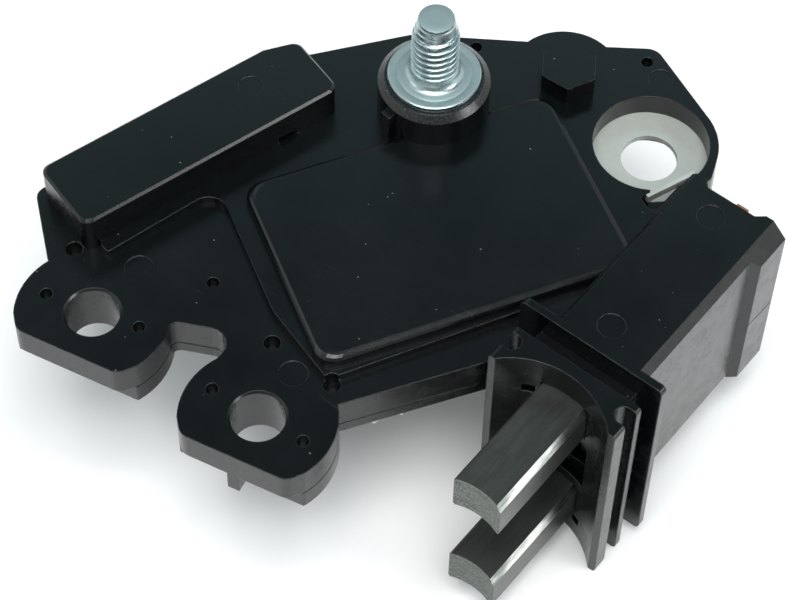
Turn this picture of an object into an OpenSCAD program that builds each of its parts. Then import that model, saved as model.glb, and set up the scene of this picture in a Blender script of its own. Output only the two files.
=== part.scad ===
/* [Mounting lugs] */
// Bore of both lugs, a clearance hole for an M6 screw
lug_bore_d = 6.5; // [6.2:0.1:7.4]
// Outer radius of both lugs
lug_r = 9.3; // [8.6:0.1:10]
// Height of the lugs over the mounting face
lug_h = 7.2; // [6.4:0.1:8]
// Outer lug bore, measured from the inner one along X
outer_lug_x = -24.3; // [-27:0.1:-22]
// Outer lug bore, measured from the inner one along Y
outer_lug_y = -1.3; // [-3:0.1:0]
// Distance from a bore to its lug's straight front edge
lug_front = 6.1; // [5.4:0.1:6.6]
// Turn of the straight front edges
lug_front_angle = 12.2; // [6:0.2:16]
// Radius of the corners at both ends of those edges
lug_corner_r = 1.8; // [0.8:0.1:2.4]
// Depth of the chamfer round the top of each lug bore
bore_chamfer = 0.25; // [0.1:0.05:0.5]
// How far the front of each lug is set back below the parting groove
foot_set_back = 1.6; // [0.8:0.1:2.2]

/* [Plate] */
// Step from the lugs up to the rear of the plate
step_h = 1.0; // [0.6:0.1:1.4]
// Underside of the plate over the mounting face
plate_z = 1.25; // [1:0.05:1.6]
// Height of the parting groove over the mounting face
parting_z = 2.85; // [2.6:0.05:3.2]
// Width of the parting groove
parting_w = 0.2; // [0.1:0.05:0.3]
// Depth of the parting groove
parting_depth = 0.25; // [0.15:0.05:0.4]
// Depth of the notch between the lugs, up to its closed end
notch_y = 5.4; // [4.4:0.1:6]

/* [Electronics housing] */
// Width of the raised housing across its short side
electronics_w = 27.6; // [25:0.2:29]
// Length of the raised housing
electronics_l = 40.3; // [38:0.1:42]
// Height of its top over the mounting face
electronics_top = 9.7; // [9.2:0.1:10.6]
// Wall round the pocket
electronics_wall = 1.8; // [1.4:0.1:2.4]
// Roof over the pocket
electronics_roof = 1.5; // [1:0.1:1.9]
// Radius of the rounded top edge
electronics_round = 0.9; // [0.4:0.1:1.4]

/* [Capacitor box] */
// Length of the long box
box_l = 36.4; // [33:0.2:37]
// Width of the long box
box_w = 10.3; // [9:0.1:10.8]
// Height of the long box over the plate's rear level
box_h = 4.5; // [3.6:0.1:6]
// Wall of the long box
box_wall = 1.5; // [1.2:0.1:1.8]

/* [Stud terminal] */
// Thread diameter of the stud
stud_d = 5.9; // [5:0.1:6.5]
// Length of the stud over its flange
stud_l = 10; // [8:0.5:16]
// Diameter of the stud's flange
stud_flange_d = 11.5; // [10.5:0.1:12.5]
// Thickness of the stud's flange
stud_flange_h = 0.8; // [0.5:0.1:1.2]
// Diameter of the moulded pedestal
pedestal_d = 13.8; // [13:0.1:15]
// Height of the pedestal over the electronics housing
pedestal_h = 4.9; // [3.5:0.1:6]

/* [Ear] */
// Ear centre, measured from the inner lug bore along X
ear_x = 12.4; // [11.8:0.1:12.8]
// Ear centre, measured from the inner lug bore along Y
ear_y = 59.9; // [59:0.1:61.5]
// Outer radius of the ear
ear_r = 8.3; // [8:0.1:8.8]
// Radius of the recess over the contact ring
ear_recess_r = 7.2; // [6.8:0.05:7.4]
// Depth of that recess
ear_recess_depth = 3.15; // [2.6:0.05:3.4]
// Hole through the contact ring, a clearance hole for an M6 bolt
ring_bore_d = 7.0; // [6.4:0.1:8]
// Thickness of the contact ring
ring_t = 0.8; // [0.6:0.1:0.8]

/* [Brush holder] */
// Centre plane of the holder, measured from the inner lug bore along X
holder_x = 25.9; // [25.5:0.1:26.6]
// Front of the holder's nose
holder_front = 20.9; // [20:0.1:22]
// Rear end of the holder
holder_rear = 56.2; // [55.5:0.1:58]
// Top of the holder's body
holder_top = 13.2; // [12.4:0.1:14.5]
// Width of the rear flange
flange_w = 20; // [18:0.2:22]
// Height of the rear flange
flange_h = 31.2; // [29:0.2:33]
// Thickness of the rear flange
flange_t = 1.0; // [0.8:0.1:1.6]
// Width of the nose's two lips
lip_w = 17.9; // [16:0.1:19]
// Radius of the hollow in the nose that clears the slip rings
nose_r = 10.8; // [9:0.1:12]

/* [Brushes] */
// Width of a carbon brush
brush_w = 6.6; // [5.6:0.1:7]
// Thickness of a carbon brush
brush_t = 5.6; // [4.8:0.1:6]
// Length of a new brush
brush_l = 24; // [20:0.5:26]
// Distance between the two brushes
brush_pitch = 17.4; // [16.4:0.1:18]
// Height of the upper brush's centre over the mounting face
brush_z = 4.85; // [4.4:0.05:5.2]
// How far a free brush stands out of the nose's hollow
brush_out = 16.3; // [12:0.1:18]
// Clearance between a brush and its channel, on each side
brush_gap = 0.15; // [0.1:0.01:0.25]
// Wall between a channel and the holder's outside
channel_wall = 1.5; // [1.2:0.1:1.8]
// Radius of the worn hollow in a brush's tip
brush_tip_r = 8; // [7:0.1:12]
// Wire of the brush springs
spring_wire = 0.5; // [0.4:0.05:0.6]
// Turns of each brush spring
spring_turns = 9; // [6:1:10]
// Diameter of the copper lead inside each spring
pigtail_d = 1.3; // [1:0.1:1.6]

/* [Electronics] */
// Thickness of the aluminium plate under the board
sink_base = 1.5; // [1.2:0.1:1.8]
// Thickness of the ceramic board
board_t = 0.8; // [0.6:0.1:1]
// Distance between the ribs of the heat sink
rib_pitch = 3.4; // [2.8:0.1:4]
// Thickness of one rib
rib_t = 1.2; // [0.8:0.1:1.5]
// Thickness of the copper strips
strip_t = 0.5; // [0.4:0.05:0.6]

/* [Hidden] */
$fn = 64;

plastic = [0.06, 0.065, 0.07];
graphite = [0.25, 0.23, 0.21];
zinc = [0.82, 0.83, 0.84];
copper = [0.72, 0.43, 0.26];
aluminium = [0.75, 0.76, 0.77];

// Levels over the mounting face
rear_top = lug_h + step_h;
box_top = rear_top + box_h;
pocket_top = electronics_top - electronics_roof;
sink_top = plate_z + 0.65 + sink_base;
groove_top = parting_z + parting_w;
rib_z = 0.35;
rib_start = 5.2;
board_top = sink_top + board_t;
gel_top = board_top + 3.4;
capacitor_z = box_top - box_wall - 0.2 - 5.4;
busbar_z = lug_h - 0.6;
busbar_t = 0.8;
stud_seat = electronics_top + pedestal_h;
stud_top = stud_seat + stud_flange_h + stud_l;
ring_top = rear_top - ear_recess_depth;
ring_seat_w = 1.5;

// Plan positions
outer_lug = [outer_lug_x, outer_lug_y];
ear = [ear_x, ear_y];
lobe = [ear_x - 14.6, ear_y + 2];
lobe_r = 6.9;
corner_pin = [ear_x - 7.8, ear_y + 10];
corner_r = 2.2;
electronics_angle = 60;
electronics_corner = [-21.7, 22.5];
long_way = [cos(electronics_angle), sin(electronics_angle)];
short_way = [long_way.y, -long_way.x];
board_u = 4;
board_l = electronics_l - 8.3;
board_v = 4.8;
board_w = electronics_w - 9.6;
stud = electronics_corner + 26.4 * long_way - 3.6 * short_way;
box_angle = 74;
box_corner = [-30.5, 4.7];
box_along = [cos(box_angle), sin(box_angle)];
box_across = [-box_along.y, box_along.x];
box_cut = [4.3, 1.4];
lead_u = 24.5;
lead_reach = 10.7;
tail_start = [ear_x + 4.5, ear_y - 6.9];
tail_angle = 70;
tail_l = 7;

// Brush holder, from front to rear
lip_t = 2;
groove_w = 2.25;
back_lip_t = 0.9;
back_lip_y = holder_front + lip_t + groove_w;
flange_y = back_lip_y + back_lip_t + groove_w;
body_y = flange_y + flange_t;
groove_x = lip_w / 2 - 2.15;
nose_top = holder_top - 1.45;
nose_bottom = nose_top - 31.45;
nose_axis_y = body_y - 4.9 - nose_r;
tip_y = nose_axis_y + nose_r - brush_out;
brush_zs = [brush_z, brush_z - brush_pitch];
channel_w = brush_w + 2 * brush_gap;
channel_t = brush_t + 2 * brush_gap;
cap_t = 1.3;
strip_y = holder_rear - 0.9;
cap_y = strip_y - cap_t;
holder_left = holder_x - 5.3;
holder_right = holder_x + 8.3;
shoulder = 1.0;
side_bevel = 1.0;
shoulder_y = holder_rear - 6;
brush_end = tip_y + brush_l;

// Unit vector along v
function unit(v) = v / norm(v);

// Points of the arc that rounds corner b, between its neighbours a and c
function corner_arc(a, b, c, r, n) =
    let (u = unit(a - b),
         v = unit(c - b),
         half = acos(u * v) / 2,
         centre = b + unit(u + v) * r / sin(half),
         from = b + u * r / tan(half) - centre,
         to = b + v * r / tan(half) - centre,
         start = atan2(from.y, from.x),
         turn = (atan2(to.y, to.x) - start + 540) % 360 - 180)
    [for (i = [0:n]) centre + r * [cos(start + turn * i / n), sin(start + turn * i / n)]];

// Outline through corners given as [x, y, radius]
function rounded(corners, n = 6) =
    let (last = len(corners) - 1, flat = [for (c = corners) [c.x, c.y]])
    [for (i = [0:last])
        each (corners[i].z > 0
            ? corner_arc(flat[i == 0 ? last : i - 1], flat[i], flat[i == last ? 0 : i + 1],
                corners[i].z, n)
            : [flat[i]])];

// Rectangle outline from a corner, along two directions, with rounded corners
function block_outline(corner, along, l, across, w, r, inset = 0) =
    let (a = corner + inset * (along + across),
         ll = l - 2 * inset,
         ww = w - 2 * inset,
         pts = [a, a + ll * along, a + ll * along + ww * across, a + ww * across])
    rounded([for (p = pts) [p.x, p.y, r]]);

// Half plane in front of a lug's straight edge
module before_front(centre, distance) {
    translate(centre) rotate(lug_front_angle) translate([-20, -20 - distance]) square([40, 20]);
}

// A lug seen from above, with its straight front edge and rounded corners
module lug_outline(centre) {
    half = sqrt(lug_r * lug_r - lug_front * lug_front) - 0.2;
    side_angle = 93 - asin(lug_front / lug_r);
    side = 30 * [cos(side_angle), sin(side_angle)];
    translate(centre) rotate(lug_front_angle) intersection() {
        circle(r = lug_r);
        polygon(rounded([
            [-half, -lug_front, lug_corner_r],
            [half, -lug_front, lug_corner_r],
            [half + side.x, side.y - lug_front, 0],
            [-half - side.x, side.y - lug_front, 0]]));
    }
}

// The lug below the parting groove, where its front is set back
module foot_outline(centre) {
    difference() {
        lug_outline(centre);
        before_front(centre, lug_front - foot_set_back);
    }
}

// The plate between the lugs, the ear and the holder
module web_outline() {
    polygon(rounded([
        [3, 2, 0],
        [holder_x - 4.4, 31.3, 0],
        [holder_x - 4, 58.6, 1.5],
        [ear.x + 7.9, ear.y + 2.6, 0],
        [ear.x + 3.3, ear.y + 7.6, 0],
        [corner_pin.x + 0.9, corner_pin.y + 2, 0],
        [corner_pin.x - 1.4, corner_pin.y + 1.7, 0],
        [lobe.x + 1.3, lobe.y + 6.7, 0.6],
        [lobe.x - 6.8, lobe.y + 1.2, 0.6],
        [lobe.x - 18.8, lobe.y - 7.1, 3],
        [lobe.x - 31.3, lobe.y - 24, 2],
        [box_corner.x - 10.9, box_corner.y + 2.6, 1.6],
        [outer_lug.x - 9.3, outer_lug.y + 2.3, 0],
        [outer_lug.x, outer_lug.y, 0],
        [outer_lug.x + 8.7, outer_lug.y + 2.8, 0],
        [outer_lug.x + 8, notch_y - 1.8, 1.2],
        [-8.8, notch_y + 2.1, 2.2],
        [-8.8, 0.5, 0],
        [0, 0, 0]]));
}

// Whole plan of the plate with its ear and lobe, and with its lugs or the feet under them
module plate_outline(feet = false) {
    web_outline();
    for (c = [[0, 0], outer_lug])
        if (feet) foot_outline(c);
        else lug_outline(c);
    translate(ear) circle(r = ear_r);
    translate(lobe) circle(r = lobe_r);
    translate(corner_pin) circle(r = corner_r);
}

// Part of the plate that stands one step over the lugs
module rear_area() {
    polygon(rounded([
        [-28.2, 5.8, 0.3],
        [-25.2, 17.5, 0],
        [-24.2, 21.2, 2.4],
        [-7.6, 11.7, 1],
        [3.4, 8.4, 1],
        [15.5, 31, 0],
        [40, 31, 0],
        [40, 80, 0],
        [-50, 80, 0],
        [-50, 12, 0],
        [-40, 10, 0],
        [-31, 7.4, 0],
        [-29.4, 6, 0]]));
}

// Plan of the raised electronics housing
function electronics_outline(inset, r = 2.4) =
    block_outline(electronics_corner, long_way, electronics_l, short_way, electronics_w, r, inset);

// Plan of the pocket under it, which stops short of the brush holder
module pocket_outline(inset = 0) {
    intersection() {
        polygon(electronics_outline(electronics_wall + inset, 1.4));
        translate([-60, -10]) square([60 + holder_left - 1.9 - inset, 90]);
    }
}

// The raised electronics housing, with its top edge rounded
module electronics_block() {
    foot = lug_h - 1;
    r = electronics_round;
    hull() {
        translate([0, 0, foot]) linear_extrude(electronics_top - r - foot)
            polygon(electronics_outline(0));
        for (a = [22.5:22.5:90])
            translate([0, 0, electronics_top - r * (1 - sin(a)) - 0.02])
                linear_extrude(0.02) polygon(electronics_outline(r * (1 - cos(a))));
    }
}

// Plan of the long box, whose outer far corner is cut along the plate's edge
function box_outline(inset, r = 1.3) =
    let (l = box_l - inset,
         w = box_w - inset,
         turn = atan2(box_cut.y, box_cut.x),
         pts = [[inset, inset], [l, inset],
             [l, box_w - box_cut.y - inset * tan(45 - turn / 2)],
             [box_l - box_cut.x - inset * tan(turn / 2), w],
             [inset, w]])
    rounded([for (p = pts) let (q = box_corner + p.x * box_along + p.y * box_across) [q.x, q.y, r]]);

// The long box, with a narrow bevel along its top edge
module capacitor_box() {
    foot = lug_h - 1;
    bevel = 0.3;
    hull() {
        translate([0, 0, foot]) linear_extrude(box_top - bevel - foot) polygon(box_outline(0));
        translate([0, 0, box_top - 0.05]) linear_extrude(0.05) polygon(box_outline(bevel));
    }
}

// Round pedestal with its chamfered rim and the rib down its front
module pedestal() {
    bevel = 0.8;
    rib_w = 1.4;
    translate([stud.x, stud.y, lug_h]) {
        cylinder(d = pedestal_d, h = stud_seat - bevel - lug_h);
        rotate(258) translate([0, -rib_w / 2, 0])
            cube([pedestal_d / 2 + 0.85, rib_w, stud_seat - 2 * bevel - lug_h]);
    }
    translate([stud.x, stud.y, stud_seat - bevel])
        cylinder(d1 = pedestal_d, d2 = pedestal_d - 2 * bevel, h = bevel);
}

// Cross section of the holder's body, seen from the front
module holder_section(right, bottom, bevel) {
    polygon([
        [holder_left, bottom],
        [right, bottom],
        [right, holder_top - bevel],
        [right - bevel, holder_top],
        [holder_left + 0.6, holder_top],
        [holder_left, holder_top - 0.6]]);
}

// Something extruded along Y from y0 to y1
module along_y(y0, y1) {
    translate([0, y1, 0]) rotate([90, 0, 0]) linear_extrude(y1 - y0) children();
}

// A plate of the nose, rounded at its corners
module lip(w, bottom, top, y, t, r) {
    along_y(y, y + t)
        polygon(rounded([
            [holder_x - w / 2, bottom, r],
            [holder_x + w / 2, bottom, r],
            [holder_x + w / 2, top, r],
            [holder_x - w / 2, top, r]]));
}

// Solid form of the brush holder, before its channels are cut
module holder_solid() {
    wall_half = channel_w / 2 + channel_wall;
    low_z = brush_zs[1] - channel_t / 2 - channel_wall;
    along_y(flange_y, shoulder_y) holder_section(holder_right - shoulder, -12.2, side_bevel);
    difference() {
        along_y(shoulder_y, holder_rear) holder_section(holder_right, -12.9, side_bevel + shoulder);
        translate([0, 0, -20]) linear_extrude(40)
            polygon([
                [holder_right - shoulder, shoulder_y - 1],
                [holder_right - shoulder, shoulder_y],
                [holder_right, shoulder_y + 0.9],
                [holder_right + 1, shoulder_y + 0.9],
                [holder_right + 1, shoulder_y - 1]]);
    }
    translate([holder_x - wall_half, flange_y, low_z])
        cube([2 * wall_half, holder_rear - flange_y, holder_top - 2 - low_z]);
    lip(flange_w, holder_top - flange_h, holder_top, flange_y, flange_t, 0.8);
    lip(lip_w, nose_bottom, nose_top, holder_front, back_lip_y + back_lip_t - holder_front, 0.6);
    translate([holder_x - groove_x, back_lip_y, nose_bottom + 1.7])
        cube([2 * groove_x, flange_y - back_lip_y, nose_top - nose_bottom - 3.6]);
}

// Everything cut out of the brush holder
module holder_cuts() {
    window_top = brush_zs[0] - channel_t / 2 - channel_wall;
    window_bottom = brush_zs[1] + channel_t / 2 + channel_wall;
    groove_reach = (lip_w - groove_w) / 2 - groove_x + 0.1;
    for (z = brush_zs)
        translate([holder_x - channel_w / 2, holder_front - 1, z - channel_t / 2])
            cube([channel_w, holder_rear - holder_front + 2, channel_t]);
    translate([holder_x, nose_axis_y, nose_bottom - 1])
        cylinder(r = nose_r, h = nose_top - nose_bottom + 2, $fn = 96);
    for (side = [-1, 1])
        translate([holder_x + side * (groove_x + groove_w / 2), holder_front + lip_t + groove_w / 2,
                nose_bottom - 1]) {
            cylinder(d = groove_w, h = nose_top - nose_bottom + 2);
            translate([side > 0 ? 0 : -groove_reach, -groove_w / 2, 0])
                cube([groove_reach, groove_w, nose_top - nose_bottom + 2]);
        }
    difference() {
        translate([holder_x - channel_w / 2, holder_front - 1, window_bottom])
            cube([channel_w + 0.6, 27, window_top - window_bottom]);
        translate([holder_x + 2, holder_front + 4.9, window_top - 4.7]) cube([10, 30, 2.9]);
        translate([holder_x + 0.4, holder_front + 4.9, window_bottom - 1]) cube([10, 30, 2.1]);
    }
    translate([holder_x + channel_w / 2 + channel_wall + 0.1, body_y + 1.2, -20])
        cube([1.5, holder_rear - body_y - 8, 29.5]);
    translate([holder_x - 5.4, holder_front - 1, brush_z + 0.15]) cube([1.5, 4.5, 1.5]);
    translate([holder_x + 3, holder_front - 1, brush_zs[1] - 4.6]) cube([1.3, 5.5, 1.3]);
    translate([holder_x - 4.7, cap_y, brush_zs[1] - 4.2])
        cube([9.4, 10, brush_pitch + 8.4]);
    translate([0, 0, -30]) linear_extrude(60)
        polygon([
            [holder_x - 2.5, strip_y],
            [holder_x + 4.2, strip_y],
            [holder_x + 5.4, holder_rear + 0.1],
            [holder_x + 5.4, holder_rear + 5],
            [holder_x - 3.4, holder_rear + 5],
            [holder_x - 3.4, holder_rear + 0.1]]);
    translate([holder_right - 0.15, shoulder_y, -1.1]) rotate([-8, 0, 0]) cube([1, 8, 0.15]);
}

// Small blind holes and ejector marks of the moulding
module pin_marks() {
    for (p = [[-32.1, 4.05], [-5.2, 8.7], [3.9, 8.6]])
        translate([p.x, p.y, lug_h - 2.2]) cylinder(d = 2, h = 5, $fn = 32);
    for (p = [[-30.3, -2.8], [-18.7, 0.6], [-16.1, 10.8], [-6.5, -0.5], [6.1, 0.7]])
        translate([p.x, p.y, lug_h - 1.6]) cylinder(d = 1.5, h = 5, $fn = 24);
    for (p = [[corner_pin.x, corner_pin.y], [-13.5, 58.3]])
        translate([p.x, p.y, rear_top - 1.6]) cylinder(d = 1.5, h = 3, $fn = 24);
    for (p = [[-24.3, 6.9], [-0.6, 7]])
        translate([p.x, p.y, lug_h - 0.12]) cylinder(d = 3.4, h = 0.3);
    translate([-28.9, 33, box_top - 0.12]) cylinder(d = 3, h = 1);
    for (p = [[ear.x - 4.9, ear.y + 8.9], [-21.9, 32.2]])
        translate([p.x, p.y, rear_top - 0.12]) cylinder(d = 3, h = 1);
    for (y = [32.1, 52])
        translate([holder_x + 0.2, y, holder_top - 0.15]) cylinder(d = 3.3, h = 1);
}

// The one-piece moulding
module housing() {
    color(plastic)
    difference() {
        union() {
            translate([0, 0, groove_top]) linear_extrude(lug_h - groove_top) plate_outline();
            translate([0, 0, parting_z]) linear_extrude(parting_w)
                offset(delta = -parting_depth) plate_outline(feet = true);
            translate([0, 0, plate_z]) linear_extrude(parting_z - plate_z)
                plate_outline(feet = true);
            translate([0, 0, lug_h - 1]) linear_extrude(1 + step_h)
                intersection() {
                    plate_outline();
                    rear_area();
                }
            lug_feet();
            electronics_block();
            capacitor_box();
            pedestal();
            translate([lobe.x + 0.8, lobe.y - 0.6, lug_h])
                rotate(4) cylinder(d = 7.6, h = step_h + 2.9, $fn = 6);
            holder_solid();
        }
        for (c = [[0, 0], outer_lug])
            translate([c.x, c.y, 0]) {
                translate([0, 0, -1]) cylinder(d = lug_bore_d, h = lug_h + 3);
                translate([0, 0, lug_h - bore_chamfer])
                    cylinder(d1 = lug_bore_d, d2 = lug_bore_d + 2, h = 1);
            }
        translate([ear.x, ear.y, 0]) {
            cylinder(r = ear_recess_r - ring_seat_w, h = 20);
            translate([0, 0, ring_top]) cylinder(r = ear_recess_r, h = 20);
        }
        tail_slot();
        translate([0, 0, sink_top]) linear_extrude(pocket_top - sink_top) pocket_outline();
        linear_extrude(sink_top) pocket_outline(-0.9);
        rib_slots();
        linear_extrude(box_top - box_wall) polygon(box_outline(box_wall, 0.6));
        lead_trench();
        holder_cuts();
        pin_marks();
        contact_ring_metal();
        busbar_metal();
        for (i = [0, 1]) terminal_metal(i);
        stud_metal();
    }
}

// Feet of the lugs, and the small nub under the inner lug's front edge
module lug_feet() {
    for (c = [[0, 0], outer_lug])
        linear_extrude(parting_z) foot_outline(c);
    rotate(lug_front_angle) translate([-0.9, -lug_front, 0])
        cube([1.5, foot_set_back, groove_top]);
}

// Ribs of the heat sink, which run across the pocket and out to the lower edge
module sink_ribs(grow = 0) {
    l = electronics_w + 1.55;
    h = sink_top - sink_base + 0.3 - rib_z;
    for (u = [rib_start:rib_pitch:electronics_l - 3])
        translate(concat(electronics_corner + u * long_way, rib_z))
            rotate(electronics_angle - 90) {
                translate([electronics_wall + 0.3, -rib_t / 2 - grow, 0])
                    cube([l, rib_t + 2 * grow, h]);
                translate([electronics_wall + 0.3 + l, 0, 0]) cylinder(d = rib_t + 2 * grow, h = h);
            }
}

// Room for the ribs under the plate
module rib_slots() {
    intersection() {
        sink_ribs(0.15);
        translate([-60, -10, 0]) cube([60 + holder_left - 1, 90, 20]);
    }
}

// Aluminium plate that closes the pocket and carries the board
module heat_sink() {
    color(aluminium) union() {
        translate([0, 0, sink_top - sink_base]) linear_extrude(sink_base) pocket_outline(-0.75);
        intersection() {
            sink_ribs();
            translate([-60, -10, 0]) cube([60 + holder_left - 1.2, 90, 20]);
        }
    }
}

// Places a child on the board: u along the housing's long side, v along its short side
module on_board(u, v, z = board_top) {
    p = electronics_corner + u * long_way + v * short_way;
    translate([p.x, p.y, z]) rotate(electronics_angle) children();
}

// A flat chip centred on its place
module chip(l, w, h) {
    translate([-l / 2, -w / 2, 0]) cube([l, w, h]);
}

// Ceramic board
module hybrid_board() {
    color("ivory") on_board(board_u, board_v, sink_top) translate([0, -board_w, 0])
        cube([board_l, board_w, board_t]);
}

module control_chip() {
    color("dimgray") on_board(board_u + 6, board_v + 4.6) chip(4.6, 4.6, 1.4);
}

module power_transistor() {
    color("gray") on_board(board_u + 13, board_v + 6) chip(6, 5.4, 1.2);
}

module freewheel_diode() {
    color("gray") on_board(board_u + 14, board_v + 13) chip(4, 4, 1.2);
}

module board_capacitors() {
    color("tan") for (i = [0:2]) on_board(board_u + 3 + 3 * i, board_v + 14) chip(1.6, 3.2, 1.2);
}

module board_resistors() {
    color("black") for (i = [0:3]) on_board(board_u + 2.4 + 2.4 * i, board_v + 10) chip(1.3, 2.5, 0.6);
}

// Soft sealing over the board and everything on it
module board_gel() {
    color([0.85, 0.9, 0.9, 0.5])
    difference() {
        translate([0, 0, sink_top]) linear_extrude(gel_top - sink_top) pocket_outline(0.1);
        hybrid_board();
        control_chip();
        power_transistor();
        freewheel_diode();
        board_capacitors();
        board_resistors();
        contact_ring_metal();
        busbar_metal();
        for (i = [0, 1]) terminal_metal(i);
        lead_wires();
    }
}

// Stud with its flange, the neck held by the moulding and the shank through the busbar
module stud_metal() {
    translate([stud.x, stud.y, 0]) {
        translate([0, 0, busbar_z]) cylinder(d = 4.4, h = busbar_t + 0.2);
        translate([0, 0, busbar_z + busbar_t]) cylinder(d = 7.6, h = stud_seat - busbar_z - busbar_t);
        translate([0, 0, stud_seat]) cylinder(d = stud_flange_d, h = stud_flange_h);
    }
}

module terminal_stud() {
    tip_h = 0.8;
    color(zinc) {
        stud_metal();
        translate([stud.x, stud.y, stud_seat + stud_flange_h - 0.2]) {
            cylinder(d = stud_d, h = stud_l + 0.2 - tip_h);
            translate([0, 0, stud_l + 0.2 - tip_h])
                cylinder(d1 = stud_d, d2 = stud_d - 1.6, h = tip_h);
        }
    }
}

// Copper strip from the stud's shank into the pocket, with a leg down to the board's level
module busbar_metal() {
    reach = 3.6 + board_v + 2.4;
    difference() {
        union() {
            translate([stud.x, stud.y, busbar_z]) cylinder(d = 9.4, h = busbar_t);
            translate([stud.x, stud.y, busbar_z]) rotate(electronics_angle - 90)
                translate([0, -2, 0]) cube([reach, 4, busbar_t]);
            translate([stud.x, stud.y, board_top]) rotate(electronics_angle - 90)
                translate([reach - 0.8, -2, 0]) cube([0.8, 4, busbar_z + busbar_t - board_top]);
        }
        translate([stud.x, stud.y, busbar_z - 1]) cylinder(d = 4.4, h = busbar_t + 2);
    }
}
module stud_busbar() { color(copper) busbar_metal(); }

// Contact ring of the ear, with its lead that runs past the holder and turns into the pocket
module contact_ring_metal() {
    wall_x = holder_left - 2.1;
    difference() {
        translate([0, 0, ring_top - ring_t]) linear_extrude(ring_t)
            union() {
                translate(ear) circle(r = ear_recess_r + 0.4);
                polygon([
                    [ear.x + 1.5, ear.y - 6],
                    [wall_x - 2.2, ear.y - 8.5],
                    [wall_x - 2.2, ear.y - 13],
                    [wall_x - 5, ear.y - 17.6],
                    [wall_x - 5, ear.y - 19.6],
                    [wall_x - 2.6, ear.y - 19.6],
                    [wall_x, ear.y - 14.4],
                    [wall_x, ear.y - 6.6],
                    [ear.x + 5.6, ear.y - 2]]);
            }
        translate([ear.x, ear.y, 0]) cylinder(d = ring_bore_d, h = 20);
    }
    translate([wall_x - 5, ear.y - 19.6, board_top]) cube([2.4, 0.8, ring_top - board_top]);
    ring_tail();
}
module ear_contact_ring() { color(zinc) contact_ring_metal(); }

// Tail of the contact ring: it rises from the ring's edge and lies on edge beside the holder
module ring_tail() {
    tail_h = 1.1;
    tail_top = rear_top - 0.15;
    translate([tail_start.x, tail_start.y, 0]) rotate(tail_angle) {
        translate([0, 0, tail_top - tail_h]) cube([tail_l, strip_t, tail_h]);
        translate([tail_l - 1.4, 0, ring_top - ring_t])
            cube([1.4, strip_t, tail_top - ring_top + ring_t]);
    }
}

// Slot beside the recess, in which the tail ends
module tail_slot() {
    translate([ear.x, ear.y, ring_top + 0.7]) linear_extrude(20)
        polygon([[3.9, -7.6], [5.6, -8.4], [6.4, -7.6], [6.4, -3.2], [4.2, -5.2]]);
}

// Copper strip of brush i: a pad behind its lead, a riser up the holder's rear, then a run
// through the wall beside the pocket and a foot on the board
module terminal_metal(i) {
    run_h = 1.3;
    half = 0.7;
    run_z = [max(board_top + 2, ring_top + 1.15), board_top][i];
    run_x = holder_left - 1.5;
    end_y = [43, 36][i];
    foot_x = [11.2, 11.4][i];
    riser_x = holder_x + [1.5, -2.9][i];
    riser_w = 1.6;
    low = brush_zs[i] - half;
    high = [holder_top - 0.3, run_z + run_h][i];
    translate([riser_x, strip_y, low]) cube([riser_w, strip_t, high - low]);
    translate([min(riser_x, holder_x - half), strip_y, low])
        cube([2.9 + half + [0.2, 0][i], strip_t, 2 * half]);
    translate([run_x, strip_y, run_z]) cube([riser_x + riser_w - run_x, strip_t, run_h]);
    translate([run_x, end_y, run_z]) cube([strip_t, strip_y + strip_t - end_y, run_h]);
    translate([foot_x, end_y, run_z]) cube([run_x + strip_t - foot_x, strip_t, run_h]);
    translate([foot_x, end_y, board_top]) cube([0.8, strip_t, run_z + run_h - board_top]);
}
module brush_terminal_upper() { color(copper) terminal_metal(0); }
module brush_terminal_lower() { color(copper) terminal_metal(1); }

// Insulating plug in the rear of the holder, with a hole for each copper lead
module brush_holder_cap() {
    color(plastic)
    difference() {
        translate([holder_x - 4.6, cap_y, brush_zs[1] - 4.1])
            cube([9.2, cap_t, brush_pitch + 8.2]);
        for (z = brush_zs)
            translate([holder_x, cap_y - 1, z]) rotate([-90, 0, 0])
                cylinder(d = pigtail_d + 0.3, h = cap_t + 2, $fn = 32);
    }
}

// Carbon brush with a hollow tip and bevelled long edges
module brush(z) {
    c = 0.7;
    e = 0.25;
    w = brush_w / 2;
    t = brush_t / 2;
    difference() {
        translate([holder_x, tip_y - 2, z]) rotate([-90, 0, 0])
            linear_extrude(brush_l + 2)
                polygon([[-w, e - t], [e - w, -t], [w - c, -t], [w, c - t],
                    [w, t - e], [w - e, t], [e - w, t], [-w, t - e]]);
        translate([holder_x, tip_y - brush_tip_r, z - t - 1])
            cylinder(r = brush_tip_r, h = brush_t + 2, $fn = 96);
        translate([holder_x - w - 1, tip_y - 3, z - t - 1]) cube([brush_w + 2, 2.4, brush_t + 2]);
        translate([holder_x, brush_end - 4, z]) rotate([-90, 0, 0])
            cylinder(d = pigtail_d, h = 5, $fn = 32);
    }
}
module brush_upper() { color(graphite) brush(brush_zs[0]); }
module brush_lower() { color(graphite) brush(brush_zs[1]); }

// Copper lead from its hole in the brush to the terminal strip
module pigtail(z) {
    translate([holder_x, brush_end - 4, z]) rotate([-90, 0, 0])
        cylinder(d = pigtail_d, h = strip_y - brush_end + 4, $fn = 24);
}
module pigtail_upper() { color(copper) pigtail(brush_zs[0]); }
module pigtail_lower() { color(copper) pigtail(brush_zs[1]); }

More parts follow.
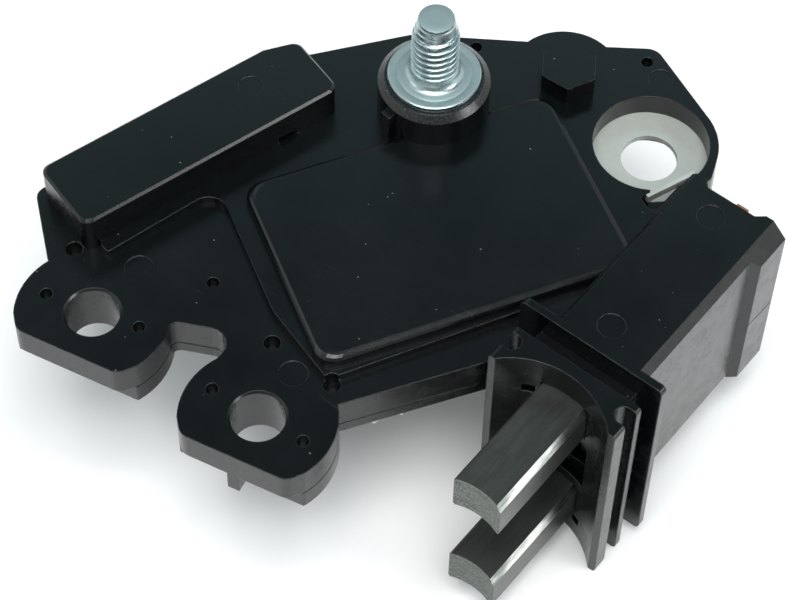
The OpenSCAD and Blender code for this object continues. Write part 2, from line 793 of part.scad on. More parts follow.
// Coil spring between the brush and the cap, swept round the holder's Y direction
module coil_spring(z) {
    sides = 6;
    per_turn = 12;
    steps = spring_turns * per_turn;
    r = (channel_t - spring_wire) / 2 - 0.2;
    start = brush_end + spring_wire / 2;
    rise = cap_y - spring_wire / 2 - start;
    function ring(k) =
        let (a = 360 * k / per_turn, y = start + rise * k / steps)
        [for (s = [0:sides - 1])
            let (b = 360 * s / sides, q = r + spring_wire / 2 * cos(b))
            [holder_x + q * cos(a), y + spring_wire / 2 * sin(b), z + q * sin(a)]];
    points = [for (k = [0:steps]) each ring(k)];
    walls = [for (k = [0:steps - 1]) for (s = [0:sides - 1])
        let (n = (s + 1) % sides)
        [k * sides + s, k * sides + n, (k + 1) * sides + n, (k + 1) * sides + s]];
    polyhedron(points, concat(
        [[for (s = [sides - 1:-1:0]) s]],
        walls,
        [[for (s = [0:sides - 1]) steps * sides + s]]));
}
module brush_spring_upper() { color(zinc) coil_spring(brush_zs[0]); }
module brush_spring_lower() { color(zinc) coil_spring(brush_zs[1]); }

// Places children at the capacitor's lead side, with X pointing to the electronics
module at_leads(z) {
    p = box_corner + lead_u * box_along;
    translate([p.x, p.y, z]) rotate(box_angle - 90) children();
}

// Trench under the plate for the capacitor's wires
module lead_trench() {
    at_leads(-1) translate([-box_wall - 0.2, -3, 0]) cube([lead_reach - 1.8, 6, board_top + 2.1]);
}

// Film capacitor inside the long box
module suppression_capacitor() {
    color("goldenrod") translate([0, 0, capacitor_z]) linear_extrude(5.4)
        polygon(box_outline(box_wall + 0.4, 0.4));
}

// The capacitor's two wires, down and across to the board
module lead_wires() {
    wire_d = 0.7;
    z = board_top + 0.5;
    for (v = [-1.5, 1.5])
        at_leads(0) {
            translate([-3.2, v, z]) cylinder(d = wire_d, h = capacitor_z - z, $fn = 16);
            translate([-3.2, v, z]) sphere(d = wire_d, $fn = 16);
            translate([-3.2, v, z]) rotate([0, 90, 0])
                cylinder(d = wire_d, h = lead_reach + 3.2, $fn = 16);
            translate([lead_reach, v, board_top]) cylinder(d = wire_d, h = 0.5, $fn = 16);
            translate([lead_reach, v, z]) sphere(d = wire_d, $fn = 16);
        }
}
module capacitor_leads() { color(zinc) lead_wires(); }

// Resin that closes the long box and the trench from below
module capacitor_potting() {
    foot = plate_z + 0.2;
    color([0.12, 0.12, 0.13])
    difference() {
        union() {
            translate([0, 0, foot]) linear_extrude(capacitor_z - foot)
                polygon(box_outline(box_wall, 0.6));
            at_leads(foot) translate([-box_wall - 0.2, -3, 0])
                cube([lead_reach - 1.8, 6, board_top + 1.1 - foot]);
        }
        linear_extrude(20) pocket_outline();
        linear_extrude(sink_top) pocket_outline(-0.9);
        lead_wires();
    }
}

housing();
heat_sink();
hybrid_board();
control_chip();
power_transistor();
freewheel_diode();
board_capacitors();
board_resistors();
board_gel();
terminal_stud();
stud_busbar();
ear_contact_ring();
suppression_capacitor();
capacitor_leads();
capacitor_potting();
brush_upper();
brush_lower();
brush_spring_upper();
brush_spring_lower();
pigtail_upper();
pigtail_lower();
brush_terminal_upper();
brush_terminal_lower();
brush_holder_cap();
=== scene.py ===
import math

import bpy
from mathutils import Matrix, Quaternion, Vector


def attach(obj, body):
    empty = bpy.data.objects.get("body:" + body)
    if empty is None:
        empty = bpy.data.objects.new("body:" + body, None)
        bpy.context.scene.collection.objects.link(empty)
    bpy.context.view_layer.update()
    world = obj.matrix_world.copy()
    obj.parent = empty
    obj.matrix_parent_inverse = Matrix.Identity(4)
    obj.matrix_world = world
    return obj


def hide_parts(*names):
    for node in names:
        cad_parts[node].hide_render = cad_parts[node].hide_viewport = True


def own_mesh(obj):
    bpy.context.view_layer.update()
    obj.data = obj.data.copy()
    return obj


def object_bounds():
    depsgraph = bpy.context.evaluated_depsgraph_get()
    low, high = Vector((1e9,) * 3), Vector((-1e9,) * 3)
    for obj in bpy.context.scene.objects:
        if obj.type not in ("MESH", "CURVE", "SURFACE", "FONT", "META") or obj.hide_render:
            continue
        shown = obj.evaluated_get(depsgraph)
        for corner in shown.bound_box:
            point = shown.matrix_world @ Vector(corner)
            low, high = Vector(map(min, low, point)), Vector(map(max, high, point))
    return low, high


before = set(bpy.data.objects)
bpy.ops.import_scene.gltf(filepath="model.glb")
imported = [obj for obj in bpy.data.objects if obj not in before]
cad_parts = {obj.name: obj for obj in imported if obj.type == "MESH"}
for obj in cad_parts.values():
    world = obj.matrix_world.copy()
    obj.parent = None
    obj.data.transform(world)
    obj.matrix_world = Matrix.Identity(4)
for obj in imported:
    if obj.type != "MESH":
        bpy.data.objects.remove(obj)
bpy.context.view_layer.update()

MM = 0.001


# The camera stands on the brush side of the regulator and looks down on its glossy top face:
# 310 mm from the plate, 56 degrees above it and turned 37 degrees, with a slight roll.
aim = Vector((2.6, 22.81, 7.2)) * MM
camera_distance = 310 * MM
azimuth, elevation, roll = math.radians(37.40), math.radians(55.95), math.radians(1.42)
towards_camera = Vector((
    math.sin(azimuth) * math.cos(elevation),
    -math.cos(azimuth) * math.cos(elevation),
    math.sin(elevation)))
camera = bpy.data.objects.new("camera", bpy.data.cameras.new("camera"))
camera.data.lens = 118.34
camera.data.sensor_width = 36
camera.data.clip_start = 0.01
camera.location = aim + camera_distance * towards_camera
camera.rotation_mode = "QUATERNION"
camera.rotation_quaternion = (
    towards_camera.to_track_quat("Z", "Y") @ Quaternion((0, 0, 1), roll))
bpy.context.scene.collection.objects.link(camera)
bpy.context.scene.camera = camera


# The housing is one moulding of black glass-filled thermoset, pressed in a polished steel tool.
# Its top faces are smooth with an even gloss, its walls are grained and mottled from being drawn
# out of the tool, and its edges and the rim round the stud are rubbed grey.
def lay(tree, kind, sockets=None, **settings):
    """One shader node, with its settings, and with values or links on its sockets."""
    made = tree.nodes.new("ShaderNode" + kind)
    for name, value in settings.items():
        setattr(made, name, value)
    for key, value in (sockets or {}).items():
        if isinstance(value, bpy.types.NodeSocket):
            tree.links.new(value, made.inputs[key])
        else:
            made.inputs[key].default_value = value
    return made


def sums(tree, operation, a, b=0.0):
    return lay(tree, "Math", {0: a, 1: b}, operation=operation).outputs[0]


def ranged(tree, value, low, high, to_low=0.0, to_high=1.0):
    return lay(tree, "MapRange", {
        "Value": value, "From Min": low, "From Max": high,
        "To Min": to_low, "To Max": to_high}).outputs["Result"]


def tinted(tree, share, first, second):
    return lay(tree, "Mix", {0: share, 6: first, 7: second}, data_type="RGBA").outputs[2]


def noise(tree, where, scale, detail=2.0, rough=0.5):
    return lay(tree, "TexNoise", {
        "Vector": where, "Scale": scale, "Detail": detail, "Roughness": rough}).outputs["Fac"]


def on_piece(tree):
    return lay(tree, "TexCoord").outputs["Object"]


def face_direction(tree):
    """Which way the surface itself looks, without its bumps, as X, Y and Z."""
    return lay(tree, "SeparateXYZ", {0: lay(tree, "NewGeometry").outputs["Normal"]}).outputs


def stretched(tree, where, scale, turn=(0, 0, 0)):
    return lay(tree, "Mapping", {
        "Vector": where, "Rotation": [math.radians(a) for a in turn],
        "Scale": scale}).outputs["Vector"]


def shared_effect(name, inputs, outputs):
    """An empty shader node group, with its input and output sockets."""
    group = bpy.data.node_groups.new(name, "ShaderNodeTree")
    for label, kind, value in inputs:
        socket = group.interface.new_socket(
            label, in_out="INPUT", socket_type="NodeSocket" + kind)
        socket.default_value = value
    for label, kind in outputs:
        group.interface.new_socket(label, in_out="OUTPUT", socket_type="NodeSocket" + kind)
    return (group, group.nodes.new("NodeGroupInput").outputs,
            group.nodes.new("NodeGroupOutput").inputs)


# A small rounding of outer edges, and a mask of the places where they are rubbed
edge_wear, given, put_out = shared_effect(
    "edge_wear",
    [("Radius", "Float", 0.0002), ("Patch Scale", "Float", 900.0)],
    [("Normal", "Vector"), ("Wear", "Float")])
rounded = lay(edge_wear, "Bevel", {"Radius": given["Radius"]}, samples=6).outputs[0]
true_normal = lay(edge_wear, "NewGeometry").outputs["Normal"]
alike = lay(edge_wear, "VectorMath", {0: rounded, 1: true_normal},
            operation="DOT_PRODUCT").outputs["Value"]
from_within = lay(
    edge_wear, "AmbientOcclusion",
    {"Distance": sums(edge_wear, "MULTIPLY", given["Radius"], 1.5)},
    samples=4, inside=True, only_local=True).outputs["AO"]
outer = ranged(edge_wear, from_within, 0.97, 0.72)
turned = sums(edge_wear, "MULTIPLY", ranged(edge_wear, alike, 0.995, 0.86), outer)
patches = noise(edge_wear, on_piece(edge_wear), given["Patch Scale"], 4)
patches = ranged(edge_wear, patches, 0.42, 0.62)
eased = lay(edge_wear, "Mix", {0: outer, 4: true_normal, 5: rounded},
            data_type="VECTOR").outputs[1]
eased = lay(edge_wear, "VectorMath", {0: eased}, operation="NORMALIZE").outputs[0]
edge_wear.links.new(eased, put_out["Normal"])
edge_wear.links.new(sums(edge_wear, "MULTIPLY", turned, patches), put_out["Wear"])

# Orange peel, slow clouds and a finer mottle of handling marks, hairline scratches and dust
moulded_skin, given, put_out = shared_effect(
    "moulded_skin",
    [("Grain Scale", "Float", 4200.0)],
    [("Height", "Float"), ("Cloud", "Float"), ("Mottle", "Float"), ("Scratch", "Float"),
     ("Dust", "Float")])
where = on_piece(moulded_skin)
peel = noise(moulded_skin, where, given["Grain Scale"], 3, 0.6)
cloud = ranged(moulded_skin, noise(moulded_skin, where, 70.0, 4, 0.6), 0.35, 0.65)
mottle = ranged(moulded_skin, noise(moulded_skin, where, 620.0, 5, 0.65), 0.34, 0.66)
moulded_skin.links.new(peel, put_out["Height"])
moulded_skin.links.new(cloud, put_out["Cloud"])
moulded_skin.links.new(mottle, put_out["Mottle"])
hairline = None
for degrees, scale, seldom in ((24, (110, 5200, 110), 0.56),
                               (-51, (160, 4600, 160), 0.60),
                               (78, (210, 5600, 210), 0.62)):
    turn = (0, 0, degrees)
    streak = noise(moulded_skin, stretched(moulded_skin, where, scale, turn), 1.0, 1)
    streak = ranged(moulded_skin, streak, 0.74, 0.78)
    patch = noise(moulded_skin, stretched(moulded_skin, where, (1, 1, 1), turn), 75.0, 1)
    patch = ranged(moulded_skin, patch, seldom, seldom + 0.06)
    streak = sums(moulded_skin, "MULTIPLY", streak, patch)
    hairline = streak if hairline is None else sums(moulded_skin, "MAXIMUM", hairline, streak)
moulded_skin.links.new(hairline, put_out["Scratch"])
specks = lay(moulded_skin, "TexVoronoi", {"Vector": where, "Scale": 900.0})
lot = lay(moulded_skin, "SeparateColor", {"Color": specks.outputs["Color"]}).outputs
size = ranged(moulded_skin, lot[1], 0.0, 1.0, 0.03, 0.11)
speck = sums(moulded_skin, "SUBTRACT", size, specks.outputs["Distance"])
speck = ranged(moulded_skin, speck, 0.0, 0.02)
few = sums(moulded_skin, "GREATER_THAN", lot[0], 0.85)
moulded_skin.links.new(sums(moulded_skin, "MULTIPLY", speck, few), put_out["Dust"])


def new_finish(name, **look):
    """A material, its tree and its Principled shader, with the constants set on the sockets."""
    material = bpy.data.materials.new(name)
    material.use_nodes = True
    shader = material.node_tree.nodes["Principled BSDF"]
    for socket, value in look.items():
        shader.inputs[socket.replace("_", " ")].default_value = value
    return material, material.node_tree, shader


def use(tree, effect, **values):
    made = tree.nodes.new("ShaderNodeGroup")
    made.node_tree = effect
    for name, value in values.items():
        made.inputs[name.replace("_", " ")].default_value = value
    return made.outputs


def dress(node, material):
    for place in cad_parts[node].material_slots:
        place.material = material


PEDESTAL = Vector((-11.618, 47.163, 0)) * MM
PEDESTAL_R, PEDESTAL_TOP, RIM_DEPTH, RIM_FADE = 6.9, 14.6, 0.95, 0.20
DUST = (0.34, 0.36, 0.35, 1)


def rough_rim(tree):
    """Mask of the pedestal's chamfered rim, which the tool leaves rough round the stud."""
    at = lay(tree, "VectorMath", {0: on_piece(tree), 1: PEDESTAL}, operation="SUBTRACT").outputs[0]
    parts = lay(tree, "SeparateXYZ", {0: at}).outputs
    flat = lay(tree, "CombineXYZ", {0: parts[0], 1: parts[1]}).outputs[0]
    out = lay(tree, "VectorMath", {0: flat}, operation="LENGTH").outputs["Value"]
    near = ranged(tree, out, PEDESTAL_R * 1.01 * MM, PEDESTAL_R * 1.03 * MM, 1.0, 0.0)
    high = ranged(tree, parts[2], (PEDESTAL_TOP - RIM_DEPTH) * MM,
                  (PEDESTAL_TOP - RIM_DEPTH + RIM_FADE) * MM)
    return sums(tree, "MULTIPLY", near, high)


def black_moulding(name, dark, worn, top_rough, wall_rough, grain):
    """Black thermoset, smooth on faces that look up and grained and mottled on its walls."""
    material, tree, shader = new_finish(name, Specular_IOR_Level=0.5)
    skin = use(tree, moulded_skin)
    edge = use(tree, edge_wear, Radius=0.00022)
    upward = ranged(tree, face_direction(tree)["Z"], 0.55, 0.97)
    rim = rough_rim(tree)
    crumbs = ranged(tree, noise(tree, on_piece(tree), 3600.0, 4, 0.7), 0.44, 0.66)
    base = tinted(tree, sums(tree, "MULTIPLY", skin["Cloud"], 0.5), dark,
                  [1.8 * c for c in dark[:3]] + [1])
    for mask, share, colour in (
            (rim, ranged(tree, crumbs, 0, 1, 0.03, 0.35), worn), (edge["Wear"], 0.30, worn),
            (skin["Scratch"], 0.07, worn), (skin["Dust"], 0.35, DUST)):
        base = tinted(tree, sums(tree, "MULTIPLY", mask, share), base, colour)
    tree.links.new(base, shader.inputs["Base Color"])
    rough = ranged(tree, upward, 0.0, 1.0, wall_rough, top_rough)
    for mask, share in (
            (skin["Cloud"], 0.05), (skin["Mottle"], ranged(tree, upward, 0.0, 1.0, 0.10, 0.015)),
            (rim, ranged(tree, crumbs, 0, 1, 0.0, 0.18)), (edge["Wear"], 0.10),
            (skin["Scratch"], 0.10)):
        rough = sums(tree, "ADD", rough, sums(tree, "MULTIPLY", mask, share))
    tree.links.new(rough, shader.inputs["Roughness"])
    rise = sums(tree, "MULTIPLY", skin["Height"],
                ranged(tree, upward, 0.0, 1.0, grain, grain * 0.16))
    bump = lay(tree, "Bump", {
        "Strength": 1.0, "Distance": 0.00004, "Height": rise, "Normal": edge["Normal"]})
    tree.links.new(bump.outputs["Normal"], shader.inputs["Normal"])
    return material


moulding = black_moulding(
    "black_thermoset", dark=(0.0011, 0.0019, 0.0021, 1), worn=(0.050, 0.058, 0.057, 1),
    top_rough=0.22, wall_rough=0.17, grain=0.25)
dress("housing", moulding)


# Each brush is a block of pressed copper-graphite that slides in its channel towards a slip ring.
# Its sides are smooth with faint saw lines, and its hollow end is ground rough and speckled.
carbon, tree, shader = new_finish("pressed_carbon")
where = on_piece(tree)
edge = use(tree, edge_wear, Radius=0.00012, Patch_Scale=2500.0)
facing = face_direction(tree)
ground_end = ranged(tree, facing["Y"], -0.35, -0.75)
bevel_face = sums(tree, "MULTIPLY", ranged(tree, facing["X"], 0.5, 0.65),
                  ranged(tree, facing["Z"], 0.5, 0.65))
flakes = noise(tree, where, 6200.0, 5, 0.7)
smears = noise(tree, stretched(tree, where, (900, 160, 900)), 1.0, 4, 0.6)
saw_lines = noise(tree, stretched(tree, where, (5200, 180, 5200)), 1.0, 3, 0.6)
stripes = noise(tree, stretched(tree, where, (420, 420, 7000)), 1.0, 4, 0.65)
tone = tinted(tree, ranged(tree, smears, 0.35, 0.68),
              (0.046, 0.051, 0.048, 1), (0.068, 0.072, 0.067, 1))
tone = tinted(tree, ranged(tree, flakes, 0.58, 0.70, 0, 0.4), tone, (0.15, 0.155, 0.145, 1))
speckle = tinted(tree, ranged(tree, flakes, 0.42, 0.60),
                 (0.055, 0.062, 0.058, 1), (0.23, 0.245, 0.225, 1))
speckle = tinted(tree, ranged(tree, stripes, 0.52, 0.60, 0, 0.75),
                 speckle, (0.040, 0.048, 0.045, 1))
polish = tinted(tree, ranged(tree, smears, 0.35, 0.65),
                (0.70, 0.72, 0.70, 1), (0.18, 0.20, 0.19, 1))
tone = tinted(tree, ground_end, tone, speckle)
tone = tinted(tree, bevel_face, tone, polish)
tone = tinted(tree, sums(tree, "MULTIPLY", edge["Wear"], 0.45), tone, (0.42, 0.43, 0.40, 1))
tree.links.new(tone, shader.inputs["Base Color"])
tree.links.new(sums(tree, "MAXIMUM", bevel_face, ranged(tree, ground_end, 0, 1, 0.55, 0.20)),
               shader.inputs["Metallic"])
dull = sums(tree, "ADD", ranged(tree, ground_end, 0, 1, 0.30, 0.60),
            ranged(tree, flakes, 0.3, 0.7, -0.04, 0.06))
tree.links.new(dull, shader.inputs["Roughness"])
rise = sums(tree, "ADD", sums(tree, "MULTIPLY", saw_lines, 0.35),
            sums(tree, "MULTIPLY", flakes, 0.25))
rise = sums(tree, "MULTIPLY", rise, ranged(tree, ground_end, 0, 1, 0.5, 2.2))
bump = lay(tree, "Bump", {"Distance": 0.00002, "Height": rise, "Normal": edge["Normal"]})
tree.links.new(bump.outputs["Normal"], shader.inputs["Normal"])
for node in ("brush_upper", "brush_lower"):
    dress(node, carbon)


# The terminal stud is turned steel with a rolled M6 thread and bright zinc plating. Its flange
# sits in the pedestal, its neck is held by the moulding, and its shank goes through the busbar.
STUD_FOOT, STUD_NECK, STUD_SEAT, FLANGE_TOP, STUD_TIP = 6.6, 7.4, PEDESTAL_TOP, 15.4, 25.4
SHANK_R, NECK_R, FLANGE_R, THREAD_R = 2.2, 3.8, 5.75, 2.91
THREAD_PITCH, THREAD_DEPTH, THREAD_START = 1.0, 0.56, 16.35
STUD_SIDES, ROWS_PER_MM = 96, 24


def thread_radius(z, turn):
    """Radius of the thread's surface at height z, a share of a turn round from the start."""
    phase = ((z / THREAD_PITCH) - turn) % 1.0
    flank = abs(phase - 0.5) * 2
    smooth = min(1.0, max(0.0, (0.86 - flank) / 0.66))
    depth = THREAD_DEPTH * smooth * smooth * (3 - 2 * smooth)
    run_in = min(1.0, max(0.0, (z - THREAD_START) / 0.9))
    run_out = min(1.0, max(0.0, (STUD_TIP - 0.75 - z) / 0.5))
    return THREAD_R - depth * min(run_in, run_out)


def stud_mesh():
    plain = [
        (STUD_FOOT, SHANK_R - 0.2), (STUD_FOOT + 0.2, SHANK_R), (STUD_NECK, SHANK_R),
        (STUD_NECK, NECK_R - 0.1), (STUD_NECK + 0.1, NECK_R), (STUD_SEAT, NECK_R),
        (STUD_SEAT, FLANGE_R - 0.15), (STUD_SEAT + 0.05, FLANGE_R - 0.04),
        (STUD_SEAT + 0.18, FLANGE_R), (FLANGE_TOP - 0.22, FLANGE_R),
        (FLANGE_TOP - 0.08, FLANGE_R - 0.05), (FLANGE_TOP - 0.02, FLANGE_R - 0.16),
        (FLANGE_TOP, FLANGE_R - 0.32), (FLANGE_TOP, FLANGE_R - 0.36), (FLANGE_TOP, 4.62),
        (FLANGE_TOP - 0.015, 4.58), (FLANGE_TOP, 4.54), (FLANGE_TOP, 3.85), (FLANGE_TOP, 3.80),
        (FLANGE_TOP + 0.08, 3.55), (FLANGE_TOP + 0.24, 3.28), (FLANGE_TOP + 0.48, 3.08),
        (FLANGE_TOP + 0.75, 2.98), (FLANGE_TOP + 0.9, THREAD_R)]
    rings = [[(r, z)] * STUD_SIDES for z, r in plain]
    start = plain[-1][0] + 0.04
    crown = STUD_TIP - 0.1
    count = int((crown - start) * ROWS_PER_MM)
    for k in range(count + 1):
        z = start + (crown - start) * k / count
        below = crown - z
        tip = 2.16 + 0.26 * below - 0.10 * max(0.0, 1 - abs(below - 0.35) / 0.2)
        rings.append([(min(thread_radius(z, i / STUD_SIDES), tip), z) for i in range(STUD_SIDES)])
    rings.append([(2.19, STUD_TIP - 0.03)] * STUD_SIDES)
    rings.append([(2.10, STUD_TIP)] * STUD_SIDES)
    rings.append([(1.2, STUD_TIP)] * STUD_SIDES)
    points, faces = [], []
    for ring in rings:
        for i, (r, z) in enumerate(ring):
            a = 2 * math.pi * i / STUD_SIDES
            points.append((PEDESTAL.x + r * MM * math.cos(a),
                           PEDESTAL.y + r * MM * math.sin(a), z * MM))
    for k in range(len(rings) - 1):
        for i in range(STUD_SIDES):
            j = (i + 1) % STUD_SIDES
            faces.append((k * STUD_SIDES + i, k * STUD_SIDES + j,
                          (k + 1) * STUD_SIDES + j, (k + 1) * STUD_SIDES + i))
    faces.append(tuple(reversed(range(STUD_SIDES))))
    faces.append(tuple(range((len(rings) - 1) * STUD_SIDES, len(rings) * STUD_SIDES)))
    return points, faces


def new_piece(name, points, faces, material, smooth_angle=35):
    mesh = bpy.data.meshes.new(name)
    mesh.from_pydata(points, [], faces)
    mesh.shade_smooth()
    mesh.set_sharp_from_angle(angle=math.radians(smooth_angle))
    mesh.materials.append(material)
    piece = bpy.data.objects.new(name, mesh)
    bpy.context.scene.collection.objects.link(piece)
    return piece


def plated_metal(name, colour, rough, stain, peel_scale, peel, metallic=1.0, end_rough=0.0):
    """Plated or bare metal, slowly stained and finely grained, with duller tops if end_rough."""
    material, tree, shader = new_finish(name, Metallic=metallic)
    where = on_piece(tree)
    cloud = ranged(tree, noise(tree, where, 420.0, 4, 0.6), 0.35, 0.65)
    fine = noise(tree, where, peel_scale, 3, 0.6)
    edge = use(tree, edge_wear, Radius=0.00008, Patch_Scale=1800.0)
    tree.links.new(tinted(tree, cloud, colour, [stain * c for c in colour[:3]] + [1]),
                   shader.inputs["Base Color"])
    dull = sums(tree, "ADD", ranged(tree, cloud, 0, 1, rough, rough + 0.10),
                ranged(tree, fine, 0.3, 0.7, -0.04, 0.04))
    tops = ranged(tree, face_direction(tree)["Z"], 0.90, 0.99, 0.0, end_rough)
    dull = sums(tree, "ADD", dull, tops)
    tree.links.new(dull, shader.inputs["Roughness"])
    bump = lay(tree, "Bump", {"Strength": 1.0, "Distance": 0.00001,
                              "Height": sums(tree, "MULTIPLY", fine, peel),
                              "Normal": edge["Normal"]})
    tree.links.new(bump.outputs["Normal"], shader.inputs["Normal"])
    return material


zinc = plated_metal(
    "bright_zinc", (0.43, 0.54, 0.55, 1), 0.22, 0.86, 5200.0, 0.5, end_rough=0.26)
stud = new_piece("stud", *stud_mesh(), zinc)
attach(stud, "regulator")
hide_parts("terminal_stud")


# The contact ring is stamped from brass strip and tin plated to a matte grey. It lies in the
# ear's recess, where the alternator's bolt clamps it, and its lead runs into the housing.
tin = plated_metal(
    "matte_tin", (0.52, 0.55, 0.51, 1), 0.50, 0.90, 3800.0, 0.8, metallic=0.45)
dress("ear_contact_ring", tin)


# The heat sink is bare die-cast aluminium that closes the pocket from below, and its ribs stand
# out along the plate's lower edge.
aluminium = plated_metal("cast_aluminium", (0.60, 0.61, 0.61, 1), 0.42, 0.85, 2600.0, 1.6)
dress("heat_sink", aluminium)


# Both brush terminals and the stud's busbar are stamped from bare copper strip, dulled to brown
# where they have been handled.
copper = plated_metal("copper_strip", (0.66, 0.33, 0.17, 1), 0.30, 0.72, 3000.0, 0.8)
for node in ("brush_terminal_upper", "brush_terminal_lower", "stud_busbar"):
    dress(node, copper)


# A coil spring of drawn steel wire pushes each brush out of the holder. Its end coils are closed,
# and it bears on the brush in front and on the holder's rear plug behind.
SPRING_FRONT, SPRING_REAR = 32.1, 54.0
SPRING_WIRE, SPRING_R, SPRING_TURNS = 0.25, 2.50, 10
HOLDER_X, BRUSH_Z, BRUSH_TRAVEL = 25.9, {"upper": 4.85, "lower": -12.55}, 13.4


def tube(points, faces, path, radius, sides):
    """Adds a round bar along a path, in millimetres, closed at both ends."""
    first = len(points)
    side = None
    for k, here in enumerate(path):
        along = (path[min(k + 1, len(path) - 1)] - path[max(k - 1, 0)]).normalized()
        side = along.orthogonal().normalized() if side is None else (
            side - along * side.dot(along)).normalized()
        other = along.cross(side)
        for s in range(sides):
            a = 2 * math.pi * s / sides
            points.append((here + radius * (math.cos(a) * side + math.sin(a) * other)) * MM)
    for k in range(len(path) - 1):
        for s in range(sides):
            t = (s + 1) % sides
            faces.append((first + k * sides + s, first + k * sides + t,
                          first + (k + 1) * sides + t, first + (k + 1) * sides + s))
    faces.append(tuple(first + s for s in reversed(range(sides))))
    faces.append(tuple(first + (len(path) - 1) * sides + s for s in range(sides)))


def spring_path(z):
    """Centre line of the spring's wire, with a closed coil at each end."""
    per_turn = 40
    low, high = SPRING_FRONT + SPRING_WIRE + 0.02, SPRING_REAR - SPRING_WIRE - 0.02
    closed = 2.3 * SPRING_WIRE
    path = []
    for k in range(SPRING_TURNS * per_turn + 1):
        turns = k / per_turn
        if turns < 1:
            y = low + closed * turns
        elif turns > SPRING_TURNS - 1:
            y = high - closed * (SPRING_TURNS - turns)
        else:
            y = low + closed + (high - low - 2 * closed) * (turns - 1) / (SPRING_TURNS - 2)
        a = 2 * math.pi * turns
        path.append(Vector((HOLDER_X + SPRING_R * math.cos(a), y, z + SPRING_R * math.sin(a))))
    return path


spring_steel = plated_metal("spring_wire", (0.50, 0.50, 0.49, 1), 0.26, 0.85, 4000.0, 0.5)
for place, z in BRUSH_Z.items():
    points, faces = [], []
    tube(points, faces, spring_path(z), SPRING_WIRE, 12)
    spring = new_piece("spring_" + place, points, faces, spring_steel, 60)
    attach(spring, "regulator")
    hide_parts("brush_spring_" + place)
    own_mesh(spring)


# A pigtail of stranded copper runs inside each spring, from its hole in the brush to the copper
# strip behind the holder. It is one rigid piece that moves with the brush.
PIGTAIL_FRONT, PIGTAIL_REAR, PIGTAIL_R = 28.1, 55.3, 0.65
STRAND_R, STRAND_TWIST, STRAND_STEPS, OUTER_STRANDS = 0.215, 7.0, 70, 6
for place, z in BRUSH_Z.items():
    points, faces = [], []
    for strand in range(OUTER_STRANDS + 1):
        path = []
        for k in range(STRAND_STEPS + 1):
            y = PIGTAIL_FRONT + (PIGTAIL_REAR - PIGTAIL_FRONT) * k / STRAND_STEPS
            a = 2 * math.pi * (strand / OUTER_STRANDS + y / STRAND_TWIST)
            out = 0.0 if strand == OUTER_STRANDS else PIGTAIL_R - STRAND_R
            path.append(Vector((HOLDER_X + out * math.cos(a), y, z + out * math.sin(a))))
        tube(points, faces, path, STRAND_R, 8)
    pigtail = new_piece("pigtail_strands_" + place, points, faces, copper, 60)
    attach(pigtail, place + "_brush")
    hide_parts("pigtail_" + place)
    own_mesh(pigtail)


# The plug that closes the holder's rear is moulded from the same black thermoset, left rough,
# and the capacitor's well is filled from below with cast black resin.
dress("brush_holder_cap", black_moulding(
    "plug_thermoset", dark=(0.008, 0.009, 0.010, 1), worn=(0.05, 0.05, 0.05, 1),
    top_rough=0.45, wall_rough=0.5, grain=0.9))
dress("capacitor_potting", black_moulding(
    "cast_resin", dark=(0.010, 0.011, 0.012, 1), worn=(0.04, 0.04, 0.04, 1),
    top_rough=0.30, wall_rough=0.30, grain=0.3))


# The regulator's circuit is a ceramic board bonded to the heat sink, with its chips and small
# parts soldered on. All of it lies under clear silicone gel.
def plain_solid(name, colour, second, rough, scale, grain, **look):
    """A solid of one stuff whose colour and gloss change a little over its surface."""
    material, tree, shader = new_finish(name, **look)
    where = on_piece(tree)
    fleck = noise(tree, where, scale, 4, 0.65)
    tree.links.new(tinted(tree, ranged(tree, fleck, 0.35, 0.65), colour, second),
                   shader.inputs["Base Color"])
    tree.links.new(ranged(tree, fleck, 0.3, 0.7, rough - 0.06, rough + 0.06),
                   shader.inputs["Roughness"])
    bump = lay(tree, "Bump", {"Distance": 0.00001, "Height": sums(tree, "MULTIPLY", fleck, grain)})
    tree.links.new(bump.outputs["Normal"], shader.inputs["Normal"])
    return material


dress("hybrid_board", plain_solid(
    "alumina", (0.74, 0.71, 0.62, 1), (0.80, 0.78, 0.71, 1), 0.55, 3000.0, 1.0))
package = plain_solid(
    "chip_package", (0.012, 0.012, 0.013, 1), (0.022, 0.022, 0.023, 1), 0.48, 6000.0, 1.2)
for node in ("control_chip", "power_transistor", "freewheel_diode", "board_resistors"):
    dress(node, package)
dress("board_capacitors", plain_solid(
    "capacitor_ceramic", (0.42, 0.27, 0.13, 1), (0.50, 0.34, 0.18, 1), 0.42, 2600.0, 0.8))
dress("board_gel", plain_solid(
    "silicone_gel", (0.78, 0.84, 0.84, 1), (0.84, 0.88, 0.88, 1), 0.14, 600.0, 0.6,
    Transmission_Weight=0.8, IOR=1.41))


# The suppression capacitor is a wound film block dipped in ochre resin, with two tinned wires
# that run down and across to the board.
dress("suppression_capacitor", plain_solid(
    "dipped_film", (0.50, 0.30, 0.06, 1), (0.58, 0.37, 0.10, 1), 0.34, 900.0, 1.2))
dress("capacitor_leads", tin)


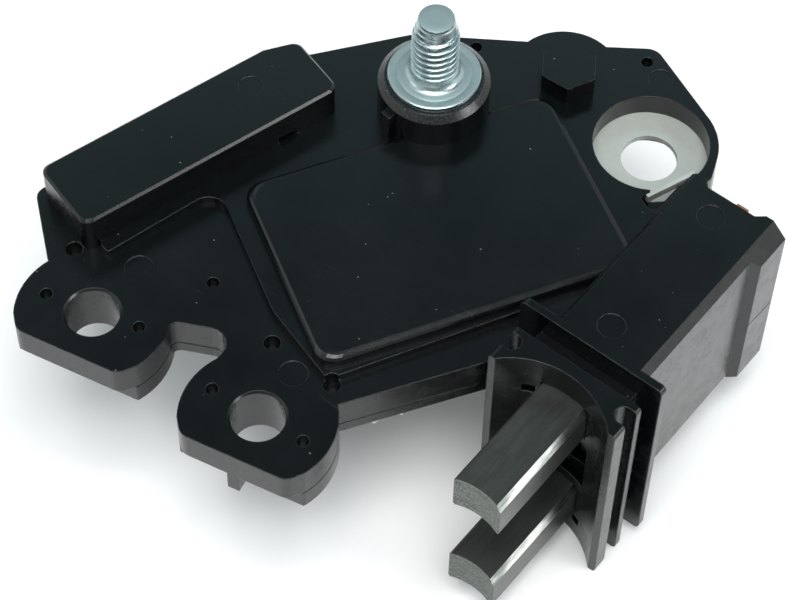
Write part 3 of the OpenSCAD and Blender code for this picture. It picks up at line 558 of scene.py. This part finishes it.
# A plain pale table and soft white light: a broad lamp overhead, one at each side, and walls of
# light that are bright low down and dim high up, so that the glossy top faces stay dark. A band of
# cool light behind the regulator lifts the far end of those faces.
bpy.context.scene.view_settings.view_transform = "Standard"
floor_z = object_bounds()[0].z
table_top = bpy.data.meshes.new("table_top")
reach = 1.6
table_top.from_pydata([(-reach, -reach, floor_z), (reach, -reach, floor_z),
                       (reach, reach, floor_z), (-reach, reach, floor_z)], [], [(0, 1, 2, 3)])
pale, tree, shader = new_finish("pale_table", Roughness=0.9, Specular_IOR_Level=0.2)
paper = tinted(tree, noise(tree, on_piece(tree), 9.0, 3),
               (0.95, 0.95, 0.95, 1), (0.97, 0.97, 0.965, 1))
tree.links.new(paper, shader.inputs["Base Color"])
table_top.materials.append(pale)
floor = bpy.data.objects.new("floor", table_top)
bpy.context.scene.collection.objects.link(floor)


def soft_lamp(name, azimuth, elevation, distance, size, power):
    """A square lamp that shines on the regulator, from a bearing where 0 is the -Y side."""
    a, e = math.radians(azimuth), math.radians(elevation)
    away = Vector((math.sin(a) * math.cos(e), -math.cos(a) * math.cos(e), math.sin(e)))
    lamp = bpy.data.objects.new(name, bpy.data.lights.new(name, "AREA"))
    lamp.data.energy, lamp.data.size = power, size
    lamp.location = aim + distance * away
    lamp.rotation_euler = away.to_track_quat("Z", "Y").to_euler()
    bpy.context.scene.collection.objects.link(lamp)


soft_lamp("lamp_overhead", 37, 76, 1.1, 0.7, 11.5)
soft_lamp("lamp_left", -52, 46, 1.1, 0.4, 0.9)
soft_lamp("lamp_right", 108, 32, 1.1, 0.4, 3.8)

world = bpy.data.worlds.new("light_tent")
bpy.context.scene.world = world
world.use_nodes = True
tree = world.node_tree
heading = lay(tree, "TexCoord").outputs["Generated"]
up = lay(tree, "SeparateXYZ", {0: heading}).outputs["Z"]
walls = ranged(tree, up, 0.60, 0.78, 0.95, 0.04)
to_the_rear = (-0.607, 0.794, 0)
rearward = lay(tree, "VectorMath", {0: heading, 1: to_the_rear},
               operation="DOT_PRODUCT").outputs["Value"]
walls = sums(tree, "MULTIPLY", walls, ranged(tree, rearward, 0.68, 0.84, 1.0, 0.25))
walls = sums(tree, "MULTIPLY", walls, ranged(tree, rearward, -0.90, -0.45, 0.35, 1.0))
rear_band = sums(tree, "MULTIPLY", ranged(tree, up, 0.62, 0.73),
                 ranged(tree, up, 0.755, 0.80, 1.0, 0.0))
rear_band = sums(tree, "MULTIPLY", rear_band, ranged(tree, rearward, 0.35, 0.55, 0.0, 0.8))
tree.links.new(sums(tree, "ADD", walls, rear_band), tree.nodes["Background"].inputs["Strength"])
sky = tinted(tree, ranged(tree, up, 0.45, 0.78), (1.0, 1.0, 0.985, 1), (0.62, 0.95, 1.08, 1))
tree.links.new(sky, tree.nodes["Background"].inputs["Color"])
